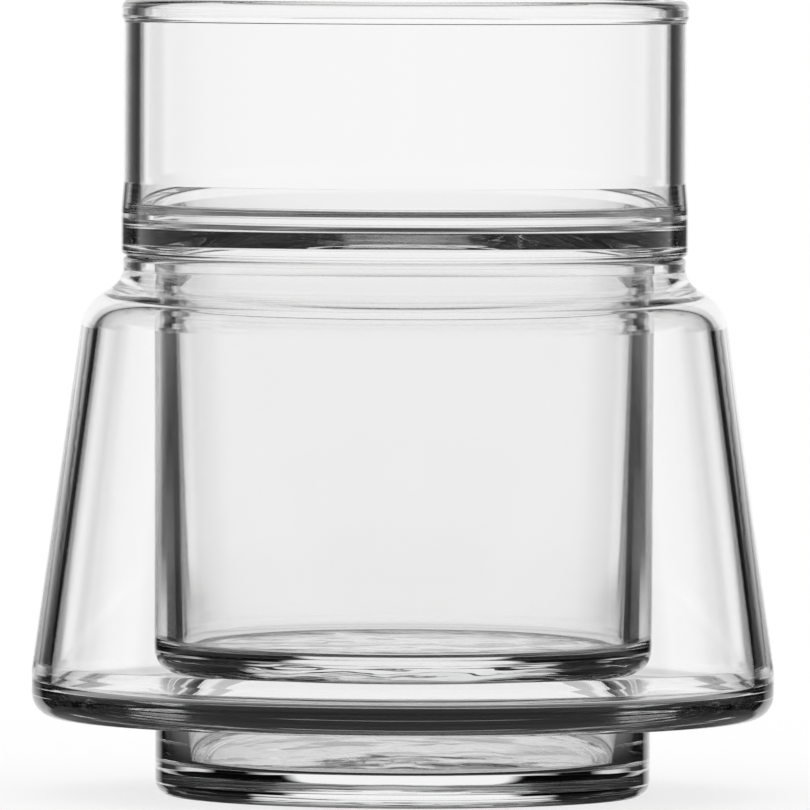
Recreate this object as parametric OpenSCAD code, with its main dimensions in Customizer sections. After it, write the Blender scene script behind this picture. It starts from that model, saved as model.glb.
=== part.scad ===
// Cortado glass: a stepped tumbler that hangs by its ledge in the neck of a flared, footed glass.
// Both are clear moulded glass, turned about one upright axis.
// Lengths are in millimetres. The origin is the centre of the foot's underside, with +Z up.

/* [Foot] */
// Outer radius of the foot
foot_radius = 29.7; // [27:0.1:31]
// Height from the table to the underside of the flared part
foot_height = 9.3; // [8:0.1:14]
// Thickness of the foot's side wall
foot_wall = 2.7; // [2:0.1:4]
// How much the hollow of the foot narrows towards its base, on the radius
well_draft = 1.3; // [0.6:0.1:2]
// Thickness of the glass under the hollow of the foot
foot_base = 3.8; // [3:0.1:5]
// Rounding of the foot's lower edge
foot_corner = 1.8; // [1:0.1:3]
// Width of the flat ring that the foot stands on
foot_ring = 4; // [3:0.1:6]
// Rise of the shallow hollow inside the standing ring
foot_rise = 0.3; // [0.2:0.1:1]

/* [Flared body] */
// Height of the lower glass, from the table to its rim
lower_height = 64.7; // [60:0.1:72]
// Largest radius, just above the rounded heel
heel_radius = 44.55; // [42:0.05:48]
// Height of the upright heel, above the flare's underside
heel_band = 5.9; // [5:0.1:8]
// Rounding of the heel's lower edge
heel_corner = 3.6; // [2.5:0.1:5]
// Thickness of the floor at the heel
floor_thickness = 3.3; // [2.8:0.1:5]
// How much the floor rises from the heel to the foot's hollow
floor_rise = 0.4; // [0:0.1:0.8]
// Large rounding from the floor down into the foot's hollow
well_lip = 4; // [3:0.1:4.2]
// Wall at the heel
heel_wall = 2.3; // [1.8:0.1:3]
// How far the shoulder's edge stands out from the neck
shoulder_width = 4.6; // [4:0.1:6]
// Drop from the foot of the neck to the shoulder's edge
shoulder_drop = 2.8; // [2:0.1:4]
// Rounding of the shoulder's edge
shoulder_rounding = 5.6; // [3:0.1:8]
// Wall of the flared body under the shoulder
shoulder_wall = 2; // [1.6:0.1:3]

/* [Neck] */
// Height of the neck, from the shoulder to the rim
neck_height = 3; // [2.4:0.1:5]
// Wall of the neck
neck_wall = 2.1; // [1.6:0.1:3]
// Hollow rounding between the neck and the shoulder
neck_rounding = 3.2; // [1.5:0.1:4]
// Radial clearance between the neck and the hanging body
neck_clearance = 1.7; // [0.4:0.1:2.5]

/* [Hanging body] */
// Outer radius of the hanging body, under the ledge
body_radius = 30; // [28:0.1:32]
// How much the hanging body narrows towards its base, on the radius
body_draft = 0.15; // [0:0.05:0.5]
// Wall of the hanging body at its top
body_wall = 2.25; // [1.8:0.05:3]
// How much thicker that wall is at the base
body_wall_gain = 1.1; // [0:0.1:1.5]
// Rounding of the hanging body's lower edge
body_corner = 5.2; // [3:0.1:5.6]
// Thickness of the hanging body's base
body_base = 3.3; // [2.8:0.1:5]
// Radius of the shallow recess under the hanging body
recess_radius = 22.5; // [18:0.1:23.5]
// Depth of that recess
recess_depth = 0.5; // [0.2:0.1:0.8]
// Space between the hanging base and the floor of the lower glass
base_gap = 1.4; // [1:0.1:4]

/* [Ledge and drinking band] */
// Height of the whole drinking band, from the ledge's underside to the rim
band_height = 30.8; // [26:0.1:36]
// How far the ledge stands out past the neck
ledge_overhang = 0.2; // [0.1:0.05:0.5]
// Thickness of the ledge
ledge_thickness = 5.7; // [5:0.1:7]
// How far the seat inside the band lies above the ledge's upper edge
seat_lift = 0.15; // [0:0.05:0.5]
// Width of the seat, a ring over the ledge on which another glass can stand
seat_width = 1.65; // [1.2:0.05:2]
// How far the seat falls towards its inner edge
seat_fall = 0.45; // [0.1:0.05:0.8]
// Height of the upright wall under the seat
seat_bore = 1.1; // [0.8:0.1:1.8]
// Height of the funnel that leads from there into the hanging body
funnel_drop = 2.9; // [2:0.1:3.2]
// How far the band steps in above the ledge, on the radius
band_step = 0.25; // [0.1:0.05:0.5]
// Wall of the drinking band
band_wall = 1.9; // [1.5:0.1:2.5]
// Thickness of the rounded rim
rim_thickness = 2.7; // [2.6:0.1:3.4]
// Height of the rounded rim
rim_height = 2.3; // [2:0.1:3]

/* [Hidden] */

// Small roundings, each where the glass leaves its mould
edge_rounding = 0.7;
ledge_fillet = 0.8;
foot_fillet = 0.8;
ring_rounding = 1.6;
ring_slope = 0.6;
floor_rounding = 1.2;
well_rounding = 1;
seat_rounding = 0.5;
recess_rounding = 0.5;
recess_slope = 1.2;
heel_blend = 8;
step_blend = 1.4;
step_length = 3;

// Turn of each step round a curve, and sides of each revolved body, in degrees and counts
arc_step = 9;
round_sides = 128;

// Levels of the lower glass, measured from the table
floor_level = foot_height + floor_thickness;
lip_level = floor_level + floor_rise;
heel_level = foot_height + heel_band;
neck_level = lower_height - neck_height;
shoulder_level = neck_level - shoulder_drop;

// Radii that seat one glass in the other
neck_bore = body_radius + neck_clearance;
neck_radius = neck_bore + neck_wall;
shoulder_radius = neck_radius + shoulder_width;
ledge_radius = neck_radius + ledge_overhang;
band_radius = ledge_radius - band_step;
band_bore = band_radius - band_wall;
seat_bore_radius = band_bore - seat_width;

// Levels of the upper glass as it hangs, with its ledge on the lower rim
hanging_level = lip_level + base_gap;
ledge_level = lower_height + ledge_thickness;
seat_level = ledge_level + seat_lift;
funnel_level = seat_level - seat_fall - seat_bore;
rim_level = lower_height + band_height;
rim_base_level = rim_level - rim_height;

// Unit vector along v
function unit(v) = v / norm(v);

// Unit vector to the left of the way from a to b, which points into the glass
function left(a, b) = let (way = unit(b - a)) [-way[1], way[0]];

// Corner of the wall's inner side, where both sides at the outer corner keep the wall's thickness
function inner_corner(before, here, after, wall) =
    let (
        first = left(before, here),
        second = left(here, after)
    )
    here + wall * (first + second) / (1 + first * second);

// Points that round the corner at here. The arc reaches at most half of either side.
function corner_arc(before, here, after, rounding) =
    rounding == 0 ? [here] :
    let (
        back = unit(before - here),
        ahead = unit(after - here),
        half_angle = acos(back * ahead) / 2,
        half_side = min(norm(before - here), norm(after - here)) / 2,
        reach = min(rounding / tan(half_angle), half_side),
        radius = reach * tan(half_angle),
        centre = here + unit(back + ahead) * radius / sin(half_angle),
        start = here + back * reach - centre,
        finish = here + ahead * reach - centre,
        turn = 180 - 2 * half_angle,
        steps = ceil(turn / arc_step)
    )
    [for (i = [0 : steps])
        centre + (sin(turn * (1 - i / steps)) * start + sin(turn * i / steps) * finish) / sin(turn)];

// Outline through corners of the form [radius, height, rounding]
function rounded_outline(corners) =
    let (
        count = len(corners),
        places = [for (corner = corners) [corner[0], corner[1]]]
    )
    [for (i = [0 : count - 1])
        each corner_arc(
            places[(i + count - 1) % count], places[i], places[(i + 1) % count], corners[i][2]
        )];

// Solid of revolution whose half section is the rounded outline through the corners
module turned_glass(corners) {
    rotate_extrude($fn = round_sides)
        polygon(rounded_outline(corners));
}

// Footed glass that flares down from a short neck, with a hollow foot under its floor
module lower_glass() {
    heel = [heel_radius, heel_level];
    shoulder = [shoulder_radius, shoulder_level];
    neck = [neck_radius, neck_level];
    rim = [neck_radius, lower_height];
    inner_shoulder = inner_corner(heel, shoulder, neck, shoulder_wall);
    inner_neck = inner_corner(shoulder, neck, rim, neck_wall);
    well_radius = foot_radius - foot_wall;
    ring_inner = foot_radius - foot_corner - foot_ring;

    color([0.86, 0.89, 0.88, 0.4])
        turned_glass([
            [0, foot_rise, 0],
            [ring_inner - ring_slope, foot_rise, ring_rounding],
            [ring_inner, 0, ring_rounding],
            [foot_radius, 0, foot_corner],
            [foot_radius, foot_height, foot_fillet],
            [heel_radius, foot_height, heel_corner],
            [heel[0], heel[1], heel_blend],
            [shoulder[0], shoulder[1], shoulder_rounding],
            [neck[0], neck[1], neck_rounding],
            [rim[0], rim[1], edge_rounding],
            [neck_bore, lower_height, edge_rounding],
            [inner_neck[0], inner_neck[1], neck_rounding + neck_wall],
            [inner_shoulder[0], inner_shoulder[1], shoulder_rounding - shoulder_wall],
            [heel_radius - heel_wall, heel_level, heel_blend],
            [heel_radius - heel_wall, floor_level, floor_rounding],
            [well_radius, lip_level, well_lip],
            [well_radius - well_draft, foot_base, well_rounding],
            [0, foot_base, 0]
        ]);
}

// Tumbler with a wide drinking band, whose ledge rests on the lower glass's rim
module upper_glass() {
    base_radius = body_radius - body_draft;
    base_wall = body_wall + body_wall_gain;

    color([0.90, 0.92, 0.93, 0.4])
        turned_glass([
            [0, hanging_level + recess_depth, 0],
            [recess_radius, hanging_level + recess_depth, recess_rounding],
            [recess_radius + recess_slope, hanging_level, recess_rounding],
            [base_radius, hanging_level, body_corner],
            [body_radius, lower_height, ledge_fillet],
            [ledge_radius, lower_height, edge_rounding],
            [ledge_radius, ledge_level, step_blend],
            [band_radius, ledge_level + step_length, step_blend],
            [band_radius, rim_base_level - band_step, step_blend],
            [ledge_radius, rim_base_level, edge_rounding],
            [ledge_radius, rim_level, rim_height / 2],
            [ledge_radius - rim_thickness, rim_level, rim_height / 2],
            [ledge_radius - rim_thickness, rim_base_level, edge_rounding],
            [band_bore, rim_base_level - band_step, step_blend],
            [band_bore, seat_level, seat_rounding],
            [seat_bore_radius, seat_level - seat_fall, seat_rounding],
            [seat_bore_radius, funnel_level, seat_rounding],
            [body_radius - body_wall, funnel_level - funnel_drop, seat_rounding],
            [base_radius - base_wall, hanging_level + body_base, well_rounding],
            [0, hanging_level + body_base, 0]
        ]);
}

upper_glass();
lower_glass();
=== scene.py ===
from math import radians

import bpy
import numpy as np
from bpy.props import FloatProperty, FloatVectorProperty, IntProperty, PointerProperty
from bpy.types import Operator, Panel, PropertyGroup
from mathutils import Matrix, Vector


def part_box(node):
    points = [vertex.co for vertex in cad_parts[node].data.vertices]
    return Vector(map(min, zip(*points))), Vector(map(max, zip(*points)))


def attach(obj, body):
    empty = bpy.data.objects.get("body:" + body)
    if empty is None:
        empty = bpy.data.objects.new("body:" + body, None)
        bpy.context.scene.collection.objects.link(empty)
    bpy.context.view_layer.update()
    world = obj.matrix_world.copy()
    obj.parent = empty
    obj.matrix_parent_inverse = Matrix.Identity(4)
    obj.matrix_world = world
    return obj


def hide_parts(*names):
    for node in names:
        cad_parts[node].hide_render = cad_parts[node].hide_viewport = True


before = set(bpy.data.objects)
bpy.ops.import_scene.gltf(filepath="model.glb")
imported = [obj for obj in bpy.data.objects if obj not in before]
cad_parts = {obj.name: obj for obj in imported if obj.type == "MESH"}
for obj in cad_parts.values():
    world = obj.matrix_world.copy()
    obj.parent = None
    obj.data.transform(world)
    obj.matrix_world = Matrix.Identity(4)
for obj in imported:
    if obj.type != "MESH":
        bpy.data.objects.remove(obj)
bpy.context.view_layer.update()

bl_info = {
    "name": "Cortado Glass",
    "version": (1, 0, 0),
    "blender": (4, 5, 0),
    "location": "3D View > Sidebar > Cortado Glass",
    "description": "Stepped tumbler hanging in a flared, footed glass, in a pale studio",
    "category": "Object",
}

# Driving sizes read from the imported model, in metres
LOWER_LOW, LOWER_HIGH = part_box("lower_glass")
UPPER_LOW, UPPER_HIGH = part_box("upper_glass")
HEEL_RADIUS = LOWER_HIGH[0]
LOWER_HEIGHT = LOWER_HIGH[2]
LEDGE_RADIUS = UPPER_HIGH[0]
HANGING_LEVEL = UPPER_LOW[2]
RIM_LEVEL = UPPER_HIGH[2]

DISTANCE = dict(subtype="DISTANCE", unit="LENGTH", precision=5)


def length(name, default, description):
    """One length property, in metres."""
    return FloatProperty(name=name, default=default, description=description, **DISTANCE)


class LowerGlassSizes(PropertyGroup):
    foot_radius: length("Foot radius", 0.0297, "Outer radius of the foot")
    foot_height: length("Foot height", 0.0093, "From the table to the underside of the flare")
    foot_wall: length("Foot wall", 0.0027, "Side wall of the foot")
    well_draft: length("Hollow's draft", 0.0013, "How much the foot's hollow narrows")
    foot_base: length("Foot base", 0.0038, "Glass under the foot's hollow")
    foot_corner: length("Foot corner", 0.0018, "Rounding of the foot's lower edge")
    foot_ring: length("Standing ring", 0.004, "Width of the ring that the foot stands on")
    foot_rise: length("Ring rise", 0.0003, "Rise of the shallow hollow inside the ring")
    heel_band: length("Heel band", 0.0059, "Height of the upright heel")
    heel_corner: length("Heel corner", 0.0036, "Rounding of the heel's lower edge")
    floor_thickness: length("Floor", 0.0033, "Floor at the heel")
    floor_rise: length("Floor's rise", 0.0004, "From the heel to the foot's hollow")
    well_lip: length("Hollow's lip", 0.004, "Rounding from the floor into the foot's hollow")
    heel_wall: length("Heel wall", 0.0023, "Wall at the heel")
    shoulder_width: length("Shoulder width", 0.0046, "Shoulder's edge out from the neck")
    shoulder_drop: length("Shoulder drop", 0.0028, "Shoulder's edge below the neck")
    shoulder_rounding: length("Shoulder rounding", 0.0056, "Rounding of the shoulder's edge")
    shoulder_wall: length("Shoulder wall", 0.002, "Wall under the shoulder")
    neck_height: length("Neck height", 0.003, "From the shoulder to the rim")
    neck_wall: length("Neck wall", 0.0021, "Wall of the neck")
    neck_rounding: length("Neck rounding", 0.0032, "Hollow rounding under the neck")
    ledge_overhang: length("Overhang", 0.0002, "How far the ledge stands out past the neck")


class UpperGlassSizes(PropertyGroup):
    body_radius: length("Body radius", 0.030, "Outer radius of the hanging body")
    body_draft: length("Draft", 0.00015, "How much the hanging body narrows")
    body_wall: length("Body wall", 0.00225, "Wall of the hanging body at its top")
    body_wall_gain: length("Wall gain", 0.0011, "How much thicker the wall is at the base")
    body_corner: length("Body corner", 0.0052, "Rounding of the hanging body's lower edge")
    body_base: length("Body base", 0.0033, "Base of the hanging body")
    recess_radius: length("Recess", 0.0225, "Radius of the shallow recess under the base")
    recess_depth: length("Recess depth", 0.0005, "Depth of the recess under the base")
    ledge_thickness: length("Ledge", 0.0057, "Height of the ledge's outside")
    seat_lift: length("Seat lift", 0.00015, "Seat's outer edge above the ledge's outside")
    seat_width: length("Seat width", 0.00165, "Ring inside the band, over the ledge")
    seat_slope: length("Seat slope", 0.00045, "How far the seat falls towards its inner edge")
    seat_bore: length("Seat bore", 0.0011, "Upright wall under the seat")
    funnel_drop: length("Funnel", 0.0029, "Height of the cone that leads into the body")
    band_step: length("Band step", 0.00025, "How far the band steps in above the ledge")
    band_wall: length("Band wall", 0.0019, "Wall of the drinking band")
    rim_thickness: length("Rim thickness", 0.0027, "Thickness of the rounded rim")
    rim_height: length("Rim height", 0.0023, "Height of the rounded rim")


class GlassFinish(PropertyGroup):
    refraction: FloatProperty(
        name="Refraction", default=1.52, description="Index of refraction of soda-lime glass")
    absorption: FloatProperty(
        name="Absorption", default=6.0, description="How fast the glass darkens, per metre")
    ripple_depth: length("Ripple depth", 0.0005, "Unevenness of the moulded floors")
    round_sides: IntProperty(
        name="Sides", default=256, description="Facets round each glass")
    arc_step: FloatProperty(
        name="Arc step", default=radians(3), subtype="ANGLE", unit="ROTATION",
        description="Turn of each step round a rounding")


class StudioSizes(PropertyGroup):
    camera_distance: length("Camera distance", 1.915, "From the glass's axis to the lens")
    camera_height: length("Camera height", 0.1166, "Above the table")
    aim_height: length("Aim height", 0.0468, "Height that the middle of the view looks at")
    aim_side: length("Aim side", 0.00012, "How far right of the axis the view looks")
    field_width: length("Field width", 0.0972, "Width of the view at the glass's axis")
    roll: FloatProperty(
        name="Roll", default=radians(0.24), subtype="ANGLE", unit="ROTATION",
        description="Lean of the camera about its own view")
    floor_radius: length("Floor radius", 6.0, "Radius of the pale floor")


def corner_arc(before, here, after, rounding, step):
    """Rounds one corner: an arc that touches both sides, swept evenly between the two contact
    points. The arc's reach is at most half of the shorter side. Gives points and outward normals,
    where outward is to the right of the way along the outline."""
    back, ahead = unit(before - here), unit(after - here)
    if rounding == 0:
        return here[None, :], unit(right(-back) + right(ahead))[None, :]
    half_angle = np.arccos(np.clip(back @ ahead, -1, 1)) / 2
    half_side = min(np.linalg.norm(before - here), np.linalg.norm(after - here)) / 2
    reach = min(rounding / np.tan(half_angle), half_side)
    radius = reach * np.tan(half_angle)
    centre = here + unit(back + ahead) * radius / np.sin(half_angle)
    start, finish = here + back * reach - centre, here + ahead * reach - centre
    turn = np.pi - 2 * half_angle
    t = np.linspace(0, 1, int(np.ceil(turn / step)) + 1)[:, None]
    spokes = (np.sin(turn * (1 - t)) * start + np.sin(turn * t) * finish) / np.sin(turn)
    bulges = np.sign(right(-back) @ start)
    return centre + spokes, bulges * spokes / radius


def unit(v):
    """Vector of length one along v."""
    return v / np.linalg.norm(v)


def right(v):
    """v turned a quarter to the right, which points out of the glass."""
    return np.array([v[1], -v[0]])


def inner_corner(before, here, after, wall):
    """Corner of the wall's inner side, where both sides keep the wall's thickness."""
    first, second = -right(unit(here - before)), -right(unit(after - here))
    return here + wall * (first + second) / (1 + first @ second)


def rounded_outline(corners, step):
    """Half section through corners of radius, height and rounding, as points and normals."""
    places = np.array([corner[:2] for corner in corners])
    befores, afters = np.roll(places, 1, axis=0), np.roll(places, -1, axis=0)
    arcs = [
        corner_arc(befores[i], places[i], afters[i], corner[2], step)
        for i, corner in enumerate(corners)
    ]
    points = np.concatenate([arc[0] for arc in arcs])
    normals = np.concatenate([arc[1] for arc in arcs])
    normals[0], normals[-1] = (0, -1), (0, 1)
    return points, normals


def turned_mesh(name, points, normals, sides):
    """Surface of revolution: each point of the outline but the two on the axis makes a ring, at
    radius times the cosine and sine of the turn. The two on the axis are poles."""
    turn = np.linspace(0, 2 * np.pi, sides, endpoint=False)
    around = np.stack([np.cos(turn), np.sin(turn), np.ones(sides)], axis=1)
    rings = len(points) - 2

    def swept(values):
        middle = np.stack([values[1:-1, 0], values[1:-1, 0], values[1:-1, 1]], axis=1)
        grid = (middle[:, None, :] * around[None, :, :]).reshape(-1, 3)
        poles = [[0, 0, values[0, 1]], [0, 0, values[-1, 1]]]
        return np.concatenate([grid, poles])

    ring, side = np.meshgrid(np.arange(rings - 1), np.arange(sides), indexing="ij")
    following = (side + 1) % sides
    quads = np.stack([
        ring * sides + side, ring * sides + following,
        (ring + 1) * sides + following, (ring + 1) * sides + side,
    ], axis=-1).reshape(-1, 4)
    first, last = rings * sides, rings * sides + 1
    around_pole = np.arange(sides)
    ahead = (around_pole + 1) % sides
    top_ring = (rings - 1) * sides
    bottom = np.stack([np.full(sides, first), ahead, around_pole], axis=1)
    top = np.stack([np.full(sides, last), top_ring + around_pole, top_ring + ahead], axis=1)

    vertices = swept(points)
    mesh = bpy.data.meshes.new(name)
    mesh.vertices.add(len(vertices))
    mesh.vertices.foreach_set("co", vertices.ravel())
    loops = np.concatenate([quads.ravel(), bottom.ravel(), top.ravel()])
    sizes = np.concatenate([np.full(len(quads), 4), np.full(2 * sides, 3)])
    mesh.loops.add(len(loops))
    mesh.loops.foreach_set("vertex_index", loops)
    mesh.polygons.add(len(sizes))
    mesh.polygons.foreach_set("loop_start", np.concatenate([[0], np.cumsum(sizes)[:-1]]))
    mesh.polygons.foreach_set("use_smooth", np.ones(len(sizes), dtype=bool))
    mesh.update(calc_edges=True)
    mesh.validate()
    mesh.normals_split_custom_set_from_vertices(swept(normals))
    return mesh


def add_piece(name, mesh, material):
    """Object at the origin that shows the mesh with one material."""
    mesh.materials.append(material)
    piece = bpy.data.objects.new(name, mesh)
    bpy.context.scene.collection.objects.link(piece)
    return piece


def surface_group(name, bottom, floors, floors_top):
    """Surface of moulded glass: slow ripples on the floors, by distance from the axis up to a
    level, faint level streaks on the walls, and a matt line where the glass stands."""
    tree = bpy.data.node_groups.new(name, "ShaderNodeTree")
    for socket in ("Height", "Roughness"):
        tree.interface.new_socket(socket, in_out="OUTPUT", socket_type="NodeSocketFloat")
    leave = tree.nodes.new("NodeGroupOutput")
    place = tree.nodes.new("ShaderNodeTexCoord").outputs["Object"]
    parts = tree.nodes.new("ShaderNodeSeparateXYZ")
    feed(tree, place, parts.inputs[0])
    level = parts.outputs["Z"]
    squares = [
        math_node(tree, "MULTIPLY", parts.outputs[side], parts.outputs[side])
        for side in ("X", "Y")
    ]
    reach = math_node(tree, "SQRT", math_node(tree, "ADD", *squares))

    where = math_node(
        tree, "MULTIPLY", profile_node(tree, reach, floors, HEEL_RADIUS),
        ramp_node(tree, level, (floors_top, floors_top + FLOOR_FADE), 1, 0))
    ripple = math_node(tree, "MULTIPLY", noise_node(tree, place, RIPPLE_SCALE), where)
    streaks = math_node(
        tree, "MULTIPLY", noise_node(tree, place, STREAK_SCALE), STREAK_SHARE)
    feed(tree, math_node(tree, "ADD", ripple, streaks), leave.inputs["Height"])
    feed(tree, ramp_node(tree, level, (bottom, bottom + WEAR_FADE), WEAR, 0),
         leave.inputs["Roughness"])
    return tree


def noise_node(tree, place, scales):
    """Soft noise whose grain is the inverse of the three scales."""
    stretch = tree.nodes.new("ShaderNodeVectorMath")
    stretch.operation = "MULTIPLY"
    feed(tree, place, stretch.inputs[0])
    stretch.inputs[1].default_value = scales
    noise = tree.nodes.new("ShaderNodeTexNoise")
    feed(tree, stretch.outputs["Vector"], noise.inputs["Vector"])
    noise.inputs["Scale"].default_value = 1
    noise.inputs["Detail"].default_value = NOISE_DETAIL
    return noise.outputs["Fac"]


def glass_material(name, tint, finish, surface):
    """Clear moulded glass: plain refraction through a slightly uneven surface, and a slight
    colour that grows with the way through it."""
    material = bpy.data.materials.new(name)
    material.use_nodes = True
    tree = material.node_tree
    shader = tree.nodes["Principled BSDF"]
    shader.inputs["Base Color"].default_value = (1, 1, 1, 1)
    shader.inputs["IOR"].default_value = finish.refraction
    shader.inputs["Transmission Weight"].default_value = 1
    shader.inputs["Specular Tint"].default_value = (*SHEEN, 1)
    moulded = tree.nodes.new("ShaderNodeGroup")
    moulded.node_tree = surface
    bump = tree.nodes.new("ShaderNodeBump")
    bump.inputs["Distance"].default_value = finish.ripple_depth
    feed(tree, moulded.outputs["Height"], bump.inputs["Height"])
    feed(tree, bump.outputs["Normal"], shader.inputs["Normal"])
    feed(tree, moulded.outputs["Roughness"], shader.inputs["Roughness"])
    absorption = tree.nodes.new("ShaderNodeVolumeAbsorption")
    absorption.inputs["Color"].default_value = (*tint, 1)
    absorption.inputs["Density"].default_value = finish.absorption
    feed(tree, absorption.outputs["Volume"], tree.nodes["Material Output"].inputs["Volume"])
    return material


class CORTADO_OT_lower_glass(Operator):
    """Footed glass that flares down from a short neck"""
    bl_idname = "cortado.lower_glass"
    bl_label = "Lower glass"

    def execute(self, context):
        sizes, finish = context.scene.cortado_lower, context.scene.cortado_glass
        neck_radius = LEDGE_RADIUS - sizes.ledge_overhang
        neck_bore = neck_radius - sizes.neck_wall
        neck_level = LOWER_HEIGHT - sizes.neck_height
        floor_level = sizes.foot_height + sizes.floor_thickness
        heel = np.array([HEEL_RADIUS, sizes.foot_height + sizes.heel_band])
        shoulder = np.array([
            neck_radius + sizes.shoulder_width, neck_level - sizes.shoulder_drop])
        neck = np.array([neck_radius, neck_level])
        rim = np.array([neck_radius, LOWER_HEIGHT])
        inner_shoulder = inner_corner(heel, shoulder, neck, sizes.shoulder_wall)
        inner_neck = inner_corner(shoulder, neck, rim, sizes.neck_wall)
        well_radius = sizes.foot_radius - sizes.foot_wall
        ring_inner = sizes.foot_radius - sizes.foot_corner - sizes.foot_ring
        points, normals = rounded_outline([
            (0, sizes.foot_rise, 0),
            (ring_inner - RING_SLOPE, sizes.foot_rise, RING_ROUNDING),
            (ring_inner, 0, RING_ROUNDING),
            (sizes.foot_radius, 0, sizes.foot_corner),
            (sizes.foot_radius, sizes.foot_height, FOOT_FILLET),
            (HEEL_RADIUS, sizes.foot_height, sizes.heel_corner),
            (*heel, HEEL_BLEND),
            (*shoulder, sizes.shoulder_rounding),
            (*neck, sizes.neck_rounding),
            (*rim, EDGE_ROUNDING),
            (neck_bore, LOWER_HEIGHT, EDGE_ROUNDING),
            (*inner_neck, sizes.neck_rounding + sizes.neck_wall),
            (*inner_shoulder, sizes.shoulder_rounding - sizes.shoulder_wall),
            (HEEL_RADIUS - sizes.heel_wall, heel[1], HEEL_BLEND),
            (HEEL_RADIUS - sizes.heel_wall, floor_level, FLOOR_ROUNDING),
            (well_radius, floor_level + sizes.floor_rise, sizes.well_lip),
            (well_radius - sizes.well_draft, sizes.foot_base, WELL_ROUNDING),
            (0, sizes.foot_base, 0),
        ], finish.arc_step)
        points[:, 1] = np.minimum(points[:, 1], LOWER_HEIGHT - CONTACT_GAP)
        mesh = turned_mesh("lower_glass_clear", points, normals, finish.round_sides)
        surface = surface_group(
            "lower surface", 0, LOWER_FLOORS, floor_level + sizes.floor_rise)
        material = glass_material("lower clear glass", LOWER_TINT, finish, surface)
        piece = add_piece("lower_glass_clear", mesh, material)
        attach(piece, "lower_glass")
        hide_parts("lower_glass")
        return {"FINISHED"}


class CORTADO_OT_upper_glass(Operator):
    """Tumbler with a wide drinking band, hanging by its ledge"""
    bl_idname = "cortado.upper_glass"
    bl_label = "Upper glass"

    def execute(self, context):
        sizes, finish = context.scene.cortado_upper, context.scene.cortado_glass
        band_radius = LEDGE_RADIUS - sizes.band_step
        ledge_level = LOWER_HEIGHT + sizes.ledge_thickness
        rim_base_level = RIM_LEVEL - sizes.rim_height
        step_level = rim_base_level - sizes.band_step
        base_radius = sizes.body_radius - sizes.body_draft
        base_bore = base_radius - sizes.body_wall - sizes.body_wall_gain
        base_level = HANGING_LEVEL + sizes.body_base
        recess_level = HANGING_LEVEL + sizes.recess_depth
        rim_bore = LEDGE_RADIUS - sizes.rim_thickness
        half_rim = sizes.rim_height / 2
        band_bore = band_radius - sizes.band_wall
        seat_bore = band_bore - sizes.seat_width
        seat_level = ledge_level + sizes.seat_lift
        funnel_level = seat_level - sizes.seat_slope - sizes.seat_bore
        points, normals = rounded_outline([
            (0, recess_level, 0),
            (sizes.recess_radius, recess_level, RECESS_ROUNDING),
            (sizes.recess_radius + RECESS_SLOPE, HANGING_LEVEL, RECESS_ROUNDING),
            (base_radius, HANGING_LEVEL, sizes.body_corner),
            (sizes.body_radius, LOWER_HEIGHT, LEDGE_FILLET),
            (LEDGE_RADIUS, LOWER_HEIGHT, EDGE_ROUNDING),
            (LEDGE_RADIUS, ledge_level, STEP_BLEND),
            (band_radius, ledge_level + STEP_LENGTH, STEP_BLEND),
            (band_radius, step_level, STEP_BLEND),
            (LEDGE_RADIUS, rim_base_level, EDGE_ROUNDING),
            (LEDGE_RADIUS, RIM_LEVEL, half_rim),
            (rim_bore, RIM_LEVEL, half_rim),
            (rim_bore, rim_base_level, EDGE_ROUNDING),
            (band_bore, step_level, STEP_BLEND),
            (band_bore, seat_level, SEAT_ROUNDING),
            (seat_bore, seat_level - sizes.seat_slope, SEAT_ROUNDING),
            (seat_bore, funnel_level, SEAT_ROUNDING),
            (sizes.body_radius - sizes.body_wall, funnel_level - sizes.funnel_drop, SEAT_ROUNDING),
            (base_bore, base_level, WELL_ROUNDING),
            (0, base_level, 0),
        ], finish.arc_step)
        mesh = turned_mesh("upper_glass_clear", points, normals, finish.round_sides)
        surface = surface_group("upper surface", HANGING_LEVEL, UPPER_FLOORS, base_level)
        material = glass_material("upper clear glass", UPPER_TINT, finish, surface)
        piece = add_piece("upper_glass_clear", mesh, material)
        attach(piece, "upper_glass")
        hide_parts("upper_glass")
        return {"FINISHED"}


# Small roundings shared by the outlines, in metres
EDGE_ROUNDING = 0.0007
LEDGE_FILLET = 0.0008
FOOT_FILLET = 0.0008
RING_ROUNDING = 0.0016
RING_SLOPE = 0.0006
FLOOR_ROUNDING = 0.0012
WELL_ROUNDING = 0.001
SEAT_ROUNDING = 0.0005
RECESS_ROUNDING = 0.0005
RECESS_SLOPE = 0.0012
HEEL_BLEND = 0.008
STEP_BLEND = 0.0014
STEP_LENGTH = 0.003
CONTACT_GAP = 0.00003

# Colours that grow with the way through each glass, and the share of the plain reflection that
# each surface keeps, so that both glasses stay clear
LOWER_TINT = (0.86, 0.87, 0.87)
UPPER_TINT = (0.86, 0.86, 0.87)
SHEEN = (0.65, 0.65, 0.66)

# Moulded surfaces: grain of the ripples and streaks, height of the streaks against the ripples,
# strength of the ripples by distance from the axis, their fade above a floor, and the wear of
# each glass's lowest edge
RIPPLE_SCALE = (95, 95, 60)
STREAK_SCALE = (40, 40, 320)
NOISE_DETAIL = 1.5
STREAK_SHARE = 0.007
LOWER_FLOORS = (
    (0, 0.56), (0.0245, 0.56), (0.0265, 0.09), (0.031, 0.17), (0.041, 0.17), (0.0425, 0),
    (0.0445, 0),
)
UPPER_FLOORS = ((0, 1), (0.024, 1), (0.0262, 0.06), (0.0445, 0))
FLOOR_FADE = 0.0015
WEAR = 0.1
WEAR_FADE = 0.00025

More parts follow.
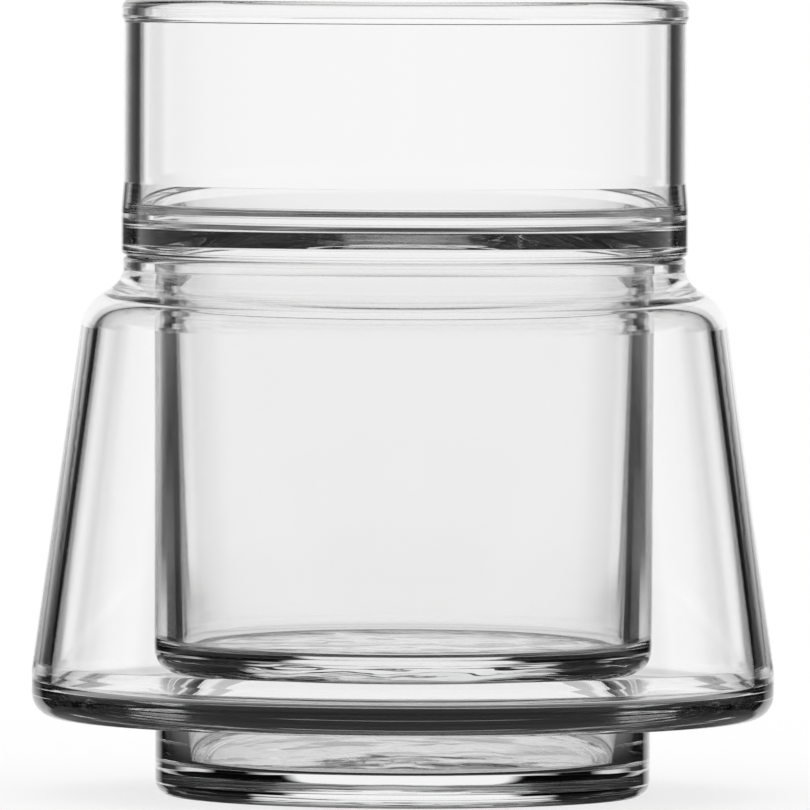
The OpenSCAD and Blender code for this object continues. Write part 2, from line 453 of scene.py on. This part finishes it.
# Room that the glass sees, in pairs of the turn from straight behind the object, in degrees, and
# a level. Low looks meet a tall window with a dark flag on each side of it. Over the spans of
# RISES, degrees above level, each profile passes to the next.
HORIZON_PROFILE = (
    (0, 1), (10, 1), (12.5, 0.93), (15, 0.45), (18, 0.1), (22, 0.08), (30, 0.05), (37, 0.02),
    (40, 0.2), (44, 1), (60, 0.4), (105, 0.3), (180, 0.3),
)
WINDOW_FOOT_PROFILE = (
    (0, 1), (16, 1), (20, 0.85), (24, 0.65), (27, 0.3), (29, 0), (45, 0), (60, 0.05),
    (105, 0.02), (180, 0.02),
)
WINDOW_PROFILE = ((0, 0.95), (18, 0.95), (24, 0.85), (27, 0.6), (28.5, 0.01), (180, 0))
WINDOW_TOP_PROFILE = ((0, 0.9), (27, 0.7), (31, 0.3), (60, 0.02), (180, 0.01))
CEILING_PROFILE = ((0, 0.5), (30, 0.5), (60, 0.3), (105, 0.04), (180, 0.04))
RISES = ((0, 0.5), (3.5, 5), (32, 38), (50, 56))
HALF_TURN = 180

# Room for looks that met one reflection so far: low looks, higher ones and the highest
ONCE_LOW_PROFILE = ((0, 0), (38, 0), (43, 0.75), (50, 0.8), (56, 0.3), (60, 0), (180, 0))
ONCE_HIGH_PROFILE = ((0, 0), (57, 0), (61, 1), (86, 1), (89, 0), (180, 0))
ONCE_TOP_PROFILE = ((0, 0), (180, 0))
ONCE_RISES = ((4, 5.5), (12, 16))

# Room for looks that only pass through the glass
CLEAR_PROFILE = ((0, 1), (17.5, 1), (20.5, 0), (57, 0), (68, 1), (180, 1))

# Numbers of bounces that part looks with none from looks with one and more, and the span over
# which looks with many reflections fade to the level FADED
BEFORE_FIRST = 0.5
BEFORE_SECOND = 1.5
FIRST_BOUNCE = (0.4, 0.6)
FADING = (3, 8)
FADED = 0.45

# Table near the glass, a glow in pairs of the distance from its axis and a level, behind the object
# and on the other sides. Painted shade lies under the standing ring and the flare, and painted
# light behind them. Looks steeper than STEEP, in degrees, meet it.
TABLE_BEHIND_PAINTED_SHADE_AND_LIGHT = (
    (0, 0.05), (0.018, 0.05), (0.0235, 0.02), (0.048, 0.02), (0.057, 0.62), (0.075, 0.62),
    (0.1, 0.5), (0.15, 0.8), (0.2, 1),
)
TABLE_AROUND_PAINTED_SHADE_AND_LIGHT = (
    (0, 0.05), (0.018, 0.05), (0.0235, 0.02), (0.034, 0.02), (0.042, 0.2), (0.048, 0.35),
    (0.057, 0.15), (0.2, 0.2),
)
TABLE_REACH = 0.2
TABLE_TURN = (28, 45)
STEEP = (14, 18)

# Table for looks that only pass through the glass, as a glow: its level by distance, darker under
# the foot as painted shade, its level for the steepest looks, and the spans of dip and turn where
# such looks meet it
TABLE_CLEAR_PAINTED_SHADE = (
    (0, 0.42), (0.02, 0.4), (0.03, 0.35), (0.036, 0.75), (0.075, 0.8), (0.12, 0.92), (0.2, 1),
)
TABLE_FROM_ABOVE = 0.9
ABOVE_DIP = (28, 50)
CLEAR_DIP = (6, 9)
CLEAR_AROUND = (38, 46)
CLEAR_BEHIND_LOW = (17.5, 20.5)
CLEAR_BEHIND = (27, 30)

# Table from FAR on, in metres, by turn from behind: a painted reflection of the studio's window and
# flags. Over the spans of DIPS, degrees below level, each profile passes to the next.
LOW_PAINTED_REFLECTION = (
    (0, 1), (14, 1), (18, 0.6), (22, 0.45), (25, 0.06), (28, 0.01), (56, 0.02), (66, 0.8),
    (180, 0.75),
)
RING_PAINTED_REFLECTION = (
    (0, 1), (15, 1), (20, 0.95), (24, 0.35), (28, 0.06), (32, 0.01), (48, 0.01), (60, 0.3),
    (105, 0.6), (180, 0.3),
)
HALF_LIT_PAINTED_REFLECTION = (
    (0, 1), (8, 1), (14, 0.9), (18, 0.73), (22, 0.45), (26, 0.04), (50, 0.04), (62, 0.6),
    (105, 0.4), (180, 0.25),
)
DIPS = ((1.6, 1.9), (3, 3.4), (4.8, 5.4))
FAR = (0.2, 0.32)

# Strength of the object's shadow on the floor, sides of the round floor, reach of the camera's
# view, and how often light may turn in the glass
SHADOW = 0.3
FLOOR_SIDES = 128
CAMERA_CLIP = (0.1, 100)
GLASS_BOUNCES = 32
MIRROR_BOUNCES = 24


def feed(tree, value, socket):
    """Links the value to an input if it is a socket, and otherwise sets it there."""
    if isinstance(value, bpy.types.NodeSocket):
        tree.links.new(value, socket)
    else:
        socket.default_value = value


def math_node(tree, operation, first, second=None):
    """One maths node in the tree, fed by sockets or numbers."""
    node = tree.nodes.new("ShaderNodeMath")
    node.operation = operation
    feed(tree, first, node.inputs[0])
    if second is not None:
        feed(tree, second, node.inputs[1])
    return node.outputs[0]


def ramp_node(tree, value, span, start, finish):
    """Smooth step from start to finish while the value crosses the span."""
    node = tree.nodes.new("ShaderNodeMapRange")
    node.interpolation_type = "SMOOTHSTEP"
    feed(tree, value, node.inputs["Value"])
    node.inputs["From Min"].default_value = span[0]
    node.inputs["From Max"].default_value = span[1]
    feed(tree, start, node.inputs["To Min"])
    feed(tree, finish, node.inputs["To Max"])
    return node.outputs["Result"]


def profile_node(tree, value, profile, reach):
    """Straight lines through the profile's pairs of value and level, up to the reach."""
    node = tree.nodes.new("ShaderNodeValToRGB")
    node.color_ramp.interpolation = "LINEAR"
    stops = node.color_ramp.elements
    while len(stops) < len(profile):
        stops.new(1)
    for stop, (place, level) in zip(stops, profile):
        stop.position = place / reach
        stop.color = (level, level, level, 1)
    feed(tree, math_node(tree, "DIVIDE", value, reach), node.inputs["Fac"])
    return node.outputs["Color"]


def turn_node(tree, parts):
    """Degrees between the level part of a vector and the way straight behind the object."""
    turn = math_node(
        tree, "ARCTAN2", math_node(tree, "ABSOLUTE", parts.outputs["X"]), parts.outputs["Y"])
    return math_node(tree, "DEGREES", turn)


def layered(tree, value, spans, turn, profiles):
    """Level by turn, which passes from each profile to the next while the value crosses a span."""
    levels = [profile_node(tree, turn, profile, HALF_TURN) for profile in profiles]
    level = levels[0]
    for span, further in zip(spans, levels[1:]):
        level = ramp_node(tree, value, span, level, further)
    return level


def studio_group():
    """Brightness that glass sees in a direction: a tall window behind the object that reaches
    overhead, dark flags on both sides of it and low light from the other sides. A look that only
    passes through the glass meets a pale room there, and one with many reflections fades."""
    tree = bpy.data.node_groups.new("studio windows", "ShaderNodeTree")
    tree.interface.new_socket("Direction", in_out="INPUT", socket_type="NodeSocketVector")
    tree.interface.new_socket("Reflections", in_out="INPUT", socket_type="NodeSocketFloat")
    tree.interface.new_socket("Brightness", in_out="OUTPUT", socket_type="NodeSocketFloat")
    entry = tree.nodes.new("NodeGroupInput")
    leave = tree.nodes.new("NodeGroupOutput")
    parts = tree.nodes.new("ShaderNodeSeparateXYZ")
    feed(tree, entry.outputs["Direction"], parts.inputs[0])
    rise = math_node(tree, "DEGREES", math_node(tree, "ARCSINE", parts.outputs["Z"]))
    turn = turn_node(tree, parts)
    count = entry.outputs["Reflections"]

    room = layered(tree, rise, RISES, turn, (
        HORIZON_PROFILE, WINDOW_FOOT_PROFILE, WINDOW_PROFILE, WINDOW_TOP_PROFILE,
        CEILING_PROFILE))
    once = layered(tree, rise, ONCE_RISES, turn, (
        ONCE_LOW_PROFILE, ONCE_HIGH_PROFILE, ONCE_TOP_PROFILE))
    once = math_node(
        tree, "MULTIPLY", once, math_node(tree, "LESS_THAN", count, BEFORE_SECOND))
    clear = profile_node(tree, turn, CLEAR_PROFILE, HALF_TURN)
    level = ramp_node(
        tree, count, FIRST_BOUNCE, clear, math_node(tree, "MAXIMUM", room, once))
    level = math_node(tree, "MULTIPLY", level, ramp_node(tree, count, FADING, 1, FADED))
    feed(tree, level, leave.inputs["Brightness"])
    return tree


def glow(tree, level):
    """White emission at a level."""
    shader = tree.nodes.new("ShaderNodeEmission")
    feed(tree, level, shader.inputs["Strength"])
    return shader.outputs[0]


def mixed(tree, factor, first, second):
    """Shader between two others."""
    mix = tree.nodes.new("ShaderNodeMixShader")
    for value, socket in zip((factor, first, second), mix.inputs):
        feed(tree, value, socket)
    return mix.outputs[0]


def painted_table(tree, reach, turn, dip):
    """Table for looks with reflections, as a glow: painted shade under the standing ring and the
    flare and painted light behind them where the look is steep, a painted reflection of the studio
    where it meets the table far away, and a mirror of the studio where a shallow look meets it near
    the glass."""
    # Painted shade under the standing ring and the flare, and painted light behind them
    near = ramp_node(tree, turn, TABLE_TURN,
                     profile_node(tree, reach, TABLE_BEHIND_PAINTED_SHADE_AND_LIGHT, TABLE_REACH),
                     profile_node(tree, reach, TABLE_AROUND_PAINTED_SHADE_AND_LIGHT, TABLE_REACH))
    # Painted reflection of the studio's window and flags in the table far away
    far = layered(tree, dip, DIPS, turn, (
        HORIZON_PROFILE, LOW_PAINTED_REFLECTION, RING_PAINTED_REFLECTION, HALF_LIT_PAINTED_REFLECTION))
    polish = tree.nodes.new("ShaderNodeBsdfGlossy")
    polish.inputs["Roughness"].default_value = 0
    polish.inputs["Color"].default_value = (1, 1, 1, 1)
    shallow = mixed(tree, ramp_node(tree, reach, FAR, 0, 1), polish.outputs[0], glow(tree, far))
    return mixed(tree, ramp_node(tree, dip, STEEP, 0, 1), shallow, glow(tree, near))


def clear_share(tree, reach, turn, dip):
    """Share of the pale table in a look that only passes through the glass. It has all of a look
    that is steep or turned far from behind, and far away also of one that is close to behind."""
    behind = ramp_node(tree, dip, DIPS[1], ramp_node(tree, turn, CLEAR_BEHIND_LOW, 1, 0),
                       ramp_node(tree, turn, CLEAR_BEHIND, 1, 0))
    behind = math_node(tree, "MULTIPLY", behind, ramp_node(tree, reach, FAR, 0, 1))
    aside = math_node(tree, "MAXIMUM", ramp_node(tree, dip, CLEAR_DIP, 0, 1),
                      ramp_node(tree, turn, CLEAR_AROUND, 0, 1))
    return math_node(tree, "MAXIMUM", behind, aside)


def table_shader(tree, place):
    """Table as the glass sees it, at a place on it, as a glow of painted light and shade. Looks
    with many reflections fade, as painted shade, and those with none meet a pale table with painted
    shade under the foot."""
    length_node = tree.nodes.new("ShaderNodeVectorMath")
    length_node.operation = "LENGTH"
    feed(tree, place, length_node.inputs[0])
    reach = length_node.outputs["Value"]
    parts = tree.nodes.new("ShaderNodeSeparateXYZ")
    feed(tree, place, parts.inputs[0])
    turn = turn_node(tree, parts)
    slant = tree.nodes.new("ShaderNodeLayerWeight")
    dip = math_node(tree, "DEGREES", math_node(
        tree, "ARCSINE", math_node(tree, "SUBTRACT", 1.0, slant.outputs["Facing"])))
    count = tree.nodes.new("ShaderNodeLightPath").outputs["Glossy Depth"]

    # Painted shade: the table's glow darkens for looks with many reflections
    faded = mixed(tree, ramp_node(tree, count, FADING, 1, FADED),
                  glow(tree, 0), painted_table(tree, reach, turn, dip))
    # Pale table for looks without reflections, with painted shade under the foot
    pale = ramp_node(tree, dip, ABOVE_DIP,
                     profile_node(tree, reach, TABLE_CLEAR_PAINTED_SHADE, TABLE_REACH), TABLE_FROM_ABOVE)
    unreflected = math_node(tree, "LESS_THAN", count, BEFORE_FIRST)
    share = math_node(tree, "MULTIPLY", unreflected, clear_share(tree, reach, turn, dip))
    return mixed(tree, share, faded, glow(tree, pale))


def light_choice(tree):
    """1 where the camera looks at the studio through glass or in a reflection, and 0 elsewhere."""
    path = tree.nodes.new("ShaderNodeLightPath")
    through = math_node(
        tree, "MAXIMUM", path.outputs["Is Glossy Ray"], path.outputs["Is Transmission Ray"])
    direct = math_node(tree, "LESS_THAN", path.outputs["Diffuse Depth"], BEFORE_FIRST)
    return math_node(tree, "MULTIPLY", through, direct)


class CORTADO_OT_studio(Operator):
    """Pale floor, soft studio light and the camera"""
    bl_idname = "cortado.studio"
    bl_label = "Studio"

    def execute(self, context):
        scene = context.scene
        sizes = scene.cortado_studio
        self.light_world(scene, studio_group())
        self.lay_floor(scene, sizes)
        self.set_camera(scene, sizes)
        scene.view_settings.view_transform = "Standard"
        scene.cycles.max_bounces = GLASS_BOUNCES
        scene.cycles.transmission_bounces = GLASS_BOUNCES
        scene.cycles.glossy_bounces = MIRROR_BOUNCES
        return {"FINISHED"}

    def light_world(self, scene, group):
        """White world, in which the glass sees the studio's windows and flags."""
        world = bpy.data.worlds.new("pale studio")
        scene.world = world
        world.use_nodes = True
        tree = world.node_tree
        background = tree.nodes["Background"]
        background.inputs["Strength"].default_value = 1
        place = tree.nodes.new("ShaderNodeTexCoord")
        panels = tree.nodes.new("ShaderNodeGroup")
        panels.node_tree = group
        feed(tree, place.outputs["Generated"], panels.inputs["Direction"])
        path = tree.nodes.new("ShaderNodeLightPath")
        feed(tree, path.outputs["Glossy Depth"], panels.inputs["Reflections"])
        mix = tree.nodes.new("ShaderNodeMix")
        mix.data_type = "RGBA"
        mix.inputs["A"].default_value = (1, 1, 1, 1)
        feed(tree, light_choice(tree), mix.inputs["Factor"])
        feed(tree, panels.outputs["Brightness"], mix.inputs["B"])
        feed(tree, mix.outputs["Result"], background.inputs["Color"])

    def lay_floor(self, scene, sizes):
        """Round floor just under the foot: white with a faint shadow to the camera, and to the
        glass a glowing table with painted shade, painted light and a painted reflection of the
        studio."""
        turn = np.linspace(0, 2 * np.pi, FLOOR_SIDES, endpoint=False)
        rim = np.stack([
            sizes.floor_radius * np.cos(turn), sizes.floor_radius * np.sin(turn),
            np.full(FLOOR_SIDES, -CONTACT_GAP),
        ], axis=1)
        mesh = bpy.data.meshes.new("floor")
        mesh.from_pydata(rim.tolist(), [], [list(range(FLOOR_SIDES))])
        material = bpy.data.materials.new("pale floor")
        material.use_nodes = True
        tree = material.node_tree
        paint = tree.nodes["Principled BSDF"]
        paint.inputs["Base Color"].default_value = (1, 1, 1, 1)
        paint.inputs["Roughness"].default_value = 1
        paint.inputs["Specular IOR Level"].default_value = 0
        place = tree.nodes.new("ShaderNodeTexCoord")
        white = glow(tree, 1)
        path = tree.nodes.new("ShaderNodeLightPath")
        shade = mixed(tree, SHADOW, white, paint.outputs[0])
        plain = mixed(tree, path.outputs["Diffuse Depth"], shade, white)
        seen = mixed(
            tree, light_choice(tree), plain, table_shader(tree, place.outputs["Object"]))
        feed(tree, seen, tree.nodes["Material Output"].inputs["Surface"])
        mesh.materials.append(material)
        floor = bpy.data.objects.new("floor", mesh)
        scene.collection.objects.link(floor)

    def set_camera(self, scene, sizes):
        """Camera in front of the object and a little above it, whose view has the set width at
        the glass's axis."""
        data = bpy.data.cameras.new("camera")
        camera = bpy.data.objects.new("camera", data)
        scene.collection.objects.link(camera)
        place = Vector((sizes.aim_side, -sizes.camera_distance, sizes.camera_height))
        aim = Vector((sizes.aim_side, 0, sizes.aim_height))
        look = (aim - place).to_track_quat("-Z", "Y").to_matrix().to_4x4()
        camera.matrix_world = Matrix.Translation(place) @ look @ Matrix.Rotation(sizes.roll, 4, "Z")
        data.lens = data.sensor_width * (aim - place).length / sizes.field_width
        data.clip_start, data.clip_end = CAMERA_CLIP
        scene.camera = camera


class CORTADO_PT_panel(Panel):
    """Lists the pieces that this file makes"""
    bl_label = "Cortado Glass"
    bl_idname = "CORTADO_PT_panel"
    bl_space_type = "VIEW_3D"
    bl_region_type = "UI"
    bl_category = "Cortado Glass"

    def draw(self, context):
        for operator in (CORTADO_OT_lower_glass, CORTADO_OT_upper_glass, CORTADO_OT_studio):
            self.layout.operator(operator.bl_idname)


CLASSES = (
    LowerGlassSizes, UpperGlassSizes, GlassFinish, StudioSizes,
    CORTADO_OT_lower_glass, CORTADO_OT_upper_glass, CORTADO_OT_studio, CORTADO_PT_panel,
)


def register():
    for cls in CLASSES:
        bpy.utils.register_class(cls)
    bpy.types.Scene.cortado_lower = PointerProperty(type=LowerGlassSizes)
    bpy.types.Scene.cortado_upper = PointerProperty(type=UpperGlassSizes)
    bpy.types.Scene.cortado_glass = PointerProperty(type=GlassFinish)
    bpy.types.Scene.cortado_studio = PointerProperty(type=StudioSizes)


def unregister():
    for name in ("cortado_lower", "cortado_upper", "cortado_glass", "cortado_studio"):
        delattr(bpy.types.Scene, name)
    for cls in reversed(CLASSES):
        bpy.utils.unregister_class(cls)


def main():
    register()
    bpy.ops.cortado.lower_glass()
    bpy.ops.cortado.upper_glass()
    bpy.ops.cortado.studio()


if __name__ == "__main__":
    main()
